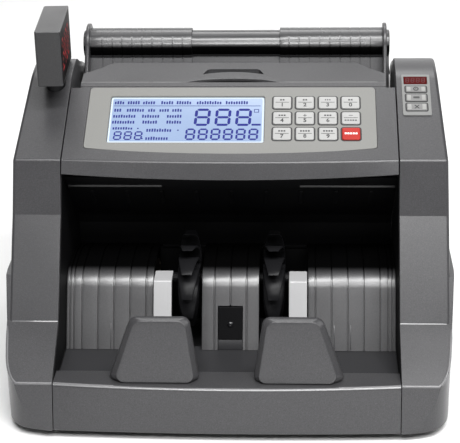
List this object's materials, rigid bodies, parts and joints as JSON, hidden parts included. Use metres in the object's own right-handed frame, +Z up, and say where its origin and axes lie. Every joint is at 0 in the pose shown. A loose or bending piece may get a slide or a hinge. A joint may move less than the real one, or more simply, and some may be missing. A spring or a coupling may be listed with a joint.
{
  "type": "banknote counting machine",
  "caption": "Desktop banknote counter: sloping keypad and display cover, top hopper with sliding guides, front stacker pocket with paddle wheels and swivelling customer display.",
  "frame": {"origin": "centre of the footprint on the surface the rubber feet stand on", "axes": "+X to the machine's right as the operator sees it, +Y to the rear, +Z up; the stacker pocket faces -Y"},
  "size_m": [0.3, 0.2404, 0.2375],
  "materials": {
    "housing_grey": "satin graphite grey with a fine pearl fleck",
    "faceplate_grey": "smooth satin warm grey",
    "black_plastic": "fine-grained black",
    "gloss_black": "polished black",
    "key_white": "satin white",
    "key_red": "satin red",
    "side_key_grey": "satin grey",
    "lcd": "backlit pale blue liquid-crystal screen",
    "red_window": "dark transparent red, polished",
    "pod_screen": "smoked dark red screen, polished",
    "strip_white": "glossy off-white",
    "rubber_black": "matt black rubber",
    "belt_black": "toothed black belt",
    "roller": "turned shaft with dark rubber rollers",
    "steel": "brushed steel",
    "zinc_steel": "folded sheet, dark powder coat",
    "motor_metal": "grey painted can",
    "transformer_metal": "varnished laminations and yellow tape",
    "board_green": "green circuit board"
  },
  "bodies": {
    "chassis": {"side_cover_right": "housing_grey", "side_cover_left": "housing_grey", "side_key_label": "faceplate_grey", "side_led_window": "red_window", "base_pan": "zinc_steel", "foot_front_left": "rubber_black", "foot_front_right": "rubber_black", "foot_rear_left": "rubber_black", "foot_rear_right": "rubber_black", "stacker_tray": "housing_grey", "stacker_back_plate": "housing_grey", "guide_strip_left": "strip_white", "guide_strip_right": "strip_white", "sensor_window": "gloss_black", "stacker_stop_right": "housing_grey", "stacker_stop_left": "housing_grey", "frame_plate_right": "steel", "frame_plate_left": "steel", "throat_guide": "black_plastic", "hopper_beam": "housing_grey", "rear_cover": "housing_grey", "power_inlet": "black_plastic", "transformer": "transformer_metal", "main_board": "board_green", "motor": "motor_metal", "drive_belt": "belt_black", "pickup_belt": "belt_black"},
    "display_cover": {"display_housing": "housing_grey", "faceplate": "faceplate_grey", "lcd_module": "lcd"},
    "pod": {"pod_housing": "housing_grey", "pod_window": "pod_screen"},
    "hopper_guide_right": {"hopper_guide_right": "housing_grey"},
    "hopper_guide_left": {"hopper_guide_left": "housing_grey"},
    "impellers": {"impeller_shaft": "steel", "impeller_right": "gloss_black", "impeller_left": "gloss_black"},
    "feed_shaft": {"feed_shaft": "roller"},
    "pickup_shaft": {"pickup_shaft": "roller"},
    "motor_rotor": {"motor_rotor": "steel"},
    "switch_rocker": {"switch_rocker": "gloss_black"},
    "feed_gap_knob": {"feed_gap_knob": "black_plastic"},
    "key_1": {"key_1": "key_white"},
    "key_2": {"key_2": "key_white"},
    "key_3": {"key_3": "key_white"},
    "key_4": {"key_4": "key_white"},
    "key_5": {"key_5": "key_white"},
    "key_6": {"key_6": "key_white"},
    "key_7": {"key_7": "key_white"},
    "key_8": {"key_8": "key_white"},
    "key_9": {"key_9": "key_white"},
    "key_10": {"key_10": "key_white"},
    "key_11": {"key_11": "key_white"},
    "key_12": {"key_12": "key_red"},
    "side_key_1": {"side_key_1": "side_key_grey"},
    "side_key_2": {"side_key_2": "side_key_grey"},
    "side_key_3": {"side_key_3": "side_key_grey"}
  },
  "joints": [
    {"name": "display_cover_tilt", "type": "hinge", "parent": "chassis", "child": "display_cover", "pos_m": [0, -0.016, 0.152], "axis": [1, 0, 0], "range_deg": [0, 62]},
    {"name": "key_1_press", "type": "slide", "parent": "display_cover", "child": "key_1", "axis": [0, -0.454, 0.891], "range_m": [-0.0008, 0], "stiffness_N_per_m": 350, "springref_m": 0.0006},
    {"name": "key_2_press", "type": "slide", "parent": "display_cover", "child": "key_2", "axis": [0, -0.454, 0.891], "range_m": [-0.0008, 0], "stiffness_N_per_m": 350, "springref_m": 0.0006},
    {"name": "key_3_press", "type": "slide", "parent": "display_cover", "child": "key_3", "axis": [0, -0.454, 0.891], "range_m": [-0.0008, 0], "stiffness_N_per_m": 350, "springref_m": 0.0006},
    {"name": "key_4_press", "type": "slide", "parent": "display_cover", "child": "key_4", "axis": [0, -0.454, 0.891], "range_m": [-0.0008, 0], "stiffness_N_per_m": 350, "springref_m": 0.0006},
    {"name": "key_5_press", "type": "slide", "parent": "display_cover", "child": "key_5", "axis": [0, -0.454, 0.891], "range_m": [-0.0008, 0], "stiffness_N_per_m": 350, "springref_m": 0.0006},
    {"name": "key_6_press", "type": "slide", "parent": "display_cover", "child": "key_6", "axis": [0, -0.454, 0.891], "range_m": [-0.0008, 0], "stiffness_N_per_m": 350, "springref_m": 0.0006},
    {"name": "key_7_press", "type": "slide", "parent": "display_cover", "child": "key_7", "axis": [0, -0.454, 0.891], "range_m": [-0.0008, 0], "stiffness_N_per_m": 350, "springref_m": 0.0006},
    {"name": "key_8_press", "type": "slide", "parent": "display_cover", "child": "key_8", "axis": [0, -0.454, 0.891], "range_m": [-0.0008, 0], "stiffness_N_per_m": 350, "springref_m": 0.0006},
    {"name": "key_9_press", "type": "slide", "parent": "display_cover", "child": "key_9", "axis": [0, -0.454, 0.891], "range_m": [-0.0008, 0], "stiffness_N_per_m": 350, "springref_m": 0.0006},
    {"name": "key_10_press", "type": "slide", "parent": "display_cover", "child": "key_10", "axis": [0, -0.454, 0.891], "range_m": [-0.0008, 0], "stiffness_N_per_m": 350, "springref_m": 0.0006},
    {"name": "key_11_press", "type": "slide", "parent": "display_cover", "child": "key_11", "axis": [0, -0.454, 0.891], "range_m": [-0.0008, 0], "stiffness_N_per_m": 350, "springref_m": 0.0006},
    {"name": "key_12_press", "type": "slide", "parent": "display_cover", "child": "key_12", "axis": [0, -0.454, 0.891], "range_m": [-0.0008, 0], "stiffness_N_per_m": 350, "springref_m": 0.0006},
    {"name": "side_key_1_press", "type": "slide", "parent": "chassis", "child": "side_key_1", "axis": [0, -0.454, 0.891], "range_m": [-0.0006, 0], "stiffness_N_per_m": 350, "springref_m": 0.0006},
    {"name": "side_key_2_press", "type": "slide", "parent": "chassis", "child": "side_key_2", "axis": [0, -0.454, 0.891], "range_m": [-0.0006, 0], "stiffness_N_per_m": 350, "springref_m": 0.0006},
    {"name": "side_key_3_press", "type": "slide", "parent": "chassis", "child": "side_key_3", "axis": [0, -0.454, 0.891], "range_m": [-0.0006, 0], "stiffness_N_per_m": 350, "springref_m": 0.0006},
    {"name": "pod_swivel", "type": "hinge", "parent": "chassis", "child": "pod", "pos_m": [-0.1237, 0.0404, 0.2], "axis": [0, 0, 1], "range_deg": [-90, 90]},
    {"name": "hopper_guide_right_slide", "type": "slide", "parent": "chassis", "child": "hopper_guide_right", "axis": [1, 0, 0], "range_m": [-0.028, 0]},
    {"name": "hopper_guide_left_slide", "type": "slide", "parent": "chassis", "child": "hopper_guide_left", "axis": [1, 0, 0], "range_m": [0, 0.028]},
    {"name": "feed_shaft_turn", "type": "hinge", "parent": "chassis", "child": "feed_shaft", "pos_m": [0, 0.05, 0.14], "axis": [1, 0, 0], "continuous": true},
    {"name": "pickup_shaft_turn", "type": "hinge", "parent": "chassis", "child": "pickup_shaft", "pos_m": [0, 0.058, 0.172], "axis": [1, 0, 0], "continuous": true},
    {"name": "impellers_turn", "type": "hinge", "parent": "chassis", "child": "impellers", "pos_m": [0, -0.007, 0.063], "axis": [1, 0, 0], "continuous": true},
    {"name": "motor_turn", "type": "hinge", "parent": "chassis", "child": "motor_rotor", "pos_m": [0.1, 0.07, 0.045], "axis": [1, 0, 0], "continuous": true},
    {"name": "switch_rock", "type": "hinge", "parent": "chassis", "child": "switch_rocker", "pos_m": [-0.05, 0.112, 0.032], "axis": [1, 0, 0], "range_deg": [-9, 0]},
    {"name": "feed_gap_turn", "type": "hinge", "parent": "chassis", "child": "feed_gap_knob", "pos_m": [0, 0.115, 0.15], "axis": [0, 1, 0], "range_deg": [-135, 135]}
  ],
  "couplings": [
    {"joint": "pickup_shaft_turn", "follows": "feed_shaft_turn", "ratio": 1},
    {"joint": "impellers_turn", "follows": "feed_shaft_turn", "ratio": 1.1667},
    {"joint": "motor_turn", "follows": "feed_shaft_turn", "ratio": 2}
  ]
}
